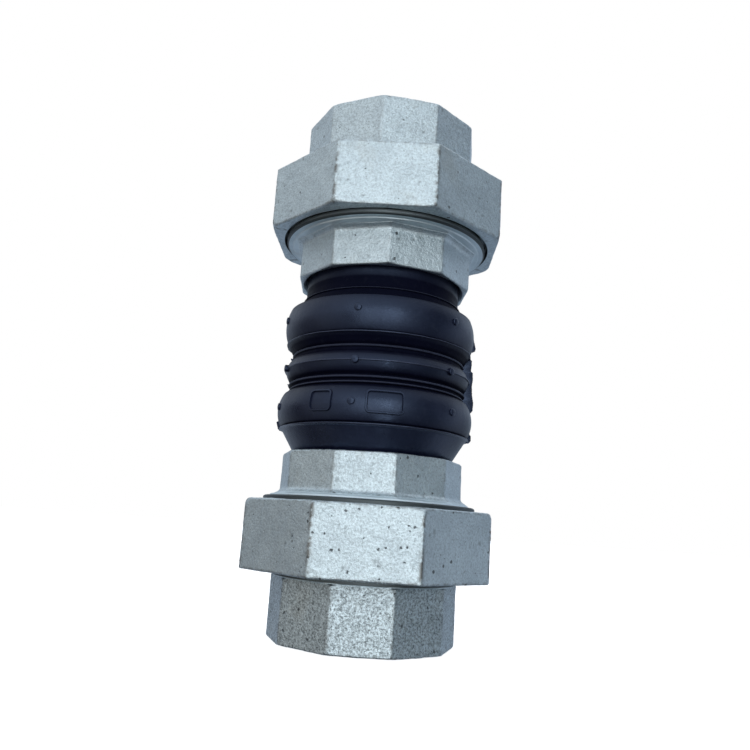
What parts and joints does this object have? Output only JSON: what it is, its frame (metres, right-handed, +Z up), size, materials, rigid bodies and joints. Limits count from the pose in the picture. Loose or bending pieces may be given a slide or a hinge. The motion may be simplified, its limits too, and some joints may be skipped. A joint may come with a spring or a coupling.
{
  "type": "rubber expansion joint",
  "caption": "Screwed-end union expansion joint: moulded twin-sphere rubber bellows held in collars by octagonal union nuts to decagonal fittings with female pipe threads.",
  "frame": {"origin": "centre of the lower end fitting's flat end face, on the flow axis", "axes": "+Z up the flow axis to the upper end fitting; -Y is the front, where a flat of each octagonal nut faces"},
  "size_m": [0.0974, 0.0974, 0.22],
  "materials": {
    "zinc_plated_casting": "electro-zinc plated malleable iron, cast skin with fine grain and pits",
    "steel_wire": "drawn wire, brass flashed for bonding",
    "cover_rubber": "moulded black rubber, satin",
    "inner_rubber": "smooth black rubber lining",
    "cord_fabric": "bias-laid nylon cord, rubberised"
  },
  "bodies": {
    "lower_pipe_end": {"lower_end_fitting": "zinc_plated_casting"},
    "lower_nut": {"lower_union_nut": "zinc_plated_casting"},
    "lower_neck_end": {"lower_collar": "zinc_plated_casting", "lower_bead_ring": "steel_wire", "tube_lower_end": "inner_rubber", "cord_ply_lower_end": "cord_fabric", "cover_lower_end": "cover_rubber"},
    "lower_neck": {"tube_lower_neck": "inner_rubber", "cord_ply_lower_neck": "cord_fabric", "cover_lower_neck": "cover_rubber"},
    "lower_bulb": {"tube_lower_bulb": "inner_rubber", "cord_ply_lower_bulb": "cord_fabric", "cover_lower_bulb": "cover_rubber"},
    "waist": {"root_ring": "steel_wire", "tube_waist": "inner_rubber", "cord_ply_waist": "cord_fabric", "cover_waist": "cover_rubber"},
    "upper_bulb": {"tube_upper_bulb": "inner_rubber", "cord_ply_upper_bulb": "cord_fabric", "cover_upper_bulb": "cover_rubber"},
    "upper_neck": {"tube_upper_neck": "inner_rubber", "cord_ply_upper_neck": "cord_fabric", "cover_upper_neck": "cover_rubber"},
    "upper_neck_end": {"upper_collar": "zinc_plated_casting", "upper_bead_ring": "steel_wire", "tube_upper_end": "inner_rubber", "cord_ply_upper_end": "cord_fabric", "cover_upper_end": "cover_rubber"},
    "upper_pipe_end": {"upper_end_fitting": "zinc_plated_casting"},
    "upper_nut": {"upper_union_nut": "zinc_plated_casting"}
  },
  "joints": [
    {"name": "lower_nut_spin", "type": "hinge", "parent": "lower_pipe_end", "child": "lower_nut", "pos_m": [0, 0, 0.04], "axis": [0, 0, 1], "range_deg": [-1800, 0]},
    {"name": "lower_union_gap", "type": "slide", "parent": "lower_pipe_end", "child": "lower_neck_end", "axis": [0, 0, 1], "range_m": [0, 0.01154]},
    {"name": "lower_tilt_fore_aft", "type": "hinge", "parent": "lower_neck_end", "child": "lower_neck", "pos_m": [0, 0, 0.0732], "axis": [1, 0, 0], "range_deg": [-7, 7], "stiffness_Nm_per_rad": 120, "deforming": ["tube_lower_neck", "cord_ply_lower_neck", "cover_lower_neck"]},
    {"name": "lower_tilt_sideways", "type": "hinge", "parent": "lower_neck", "child": "lower_bulb", "pos_m": [0, 0, 0.0866], "axis": [0, 1, 0], "range_deg": [-7, 7], "stiffness_Nm_per_rad": 120, "deforming": ["tube_lower_bulb", "cord_ply_lower_bulb", "cover_lower_bulb"]},
    {"name": "lower_bulb_squeeze", "type": "slide", "parent": "lower_bulb", "child": "waist", "axis": [0, 0, 1], "range_m": [-0.007, 0.003], "stiffness_N_per_m": 60000, "deforming": ["tube_lower_bulb", "cord_ply_lower_bulb", "cover_lower_bulb"]},
    {"name": "upper_bulb_squeeze", "type": "slide", "parent": "waist", "child": "upper_bulb", "axis": [0, 0, 1], "range_m": [-0.007, 0.003], "stiffness_N_per_m": 60000, "deforming": ["tube_upper_bulb", "cord_ply_upper_bulb", "cover_upper_bulb"]},
    {"name": "upper_tilt_sideways", "type": "hinge", "parent": "upper_bulb", "child": "upper_neck", "pos_m": [0, 0, 0.131], "axis": [0, 1, 0], "range_deg": [-7, 7], "stiffness_Nm_per_rad": 120, "deforming": ["tube_upper_bulb", "cord_ply_upper_bulb", "cover_upper_bulb"]},
    {"name": "upper_tilt_fore_aft", "type": "hinge", "parent": "upper_neck", "child": "upper_neck_end", "pos_m": [0, 0, 0.1444], "axis": [1, 0, 0], "range_deg": [-7, 7], "stiffness_Nm_per_rad": 120, "deforming": ["tube_upper_neck", "cord_ply_upper_neck", "cover_upper_neck"]},
    {"name": "upper_union_gap", "type": "slide", "parent": "upper_neck_end", "child": "upper_pipe_end", "axis": [0, 0, 1], "range_m": [0, 0.01154]},
    {"name": "upper_nut_spin", "type": "hinge", "parent": "upper_pipe_end", "child": "upper_nut", "pos_m": [0, 0, 0.18], "axis": [0, 0, 1], "range_deg": [0, 1800]}
  ],
  "couplings": [
    {"joint": "lower_nut_spin", "follows": "lower_union_gap", "rad_per_m": -2721.1},
    {"joint": "upper_bulb_squeeze", "follows": "lower_bulb_squeeze", "ratio": 1},
    {"joint": "upper_nut_spin", "follows": "upper_union_gap", "rad_per_m": 2721.1}
  ]
}
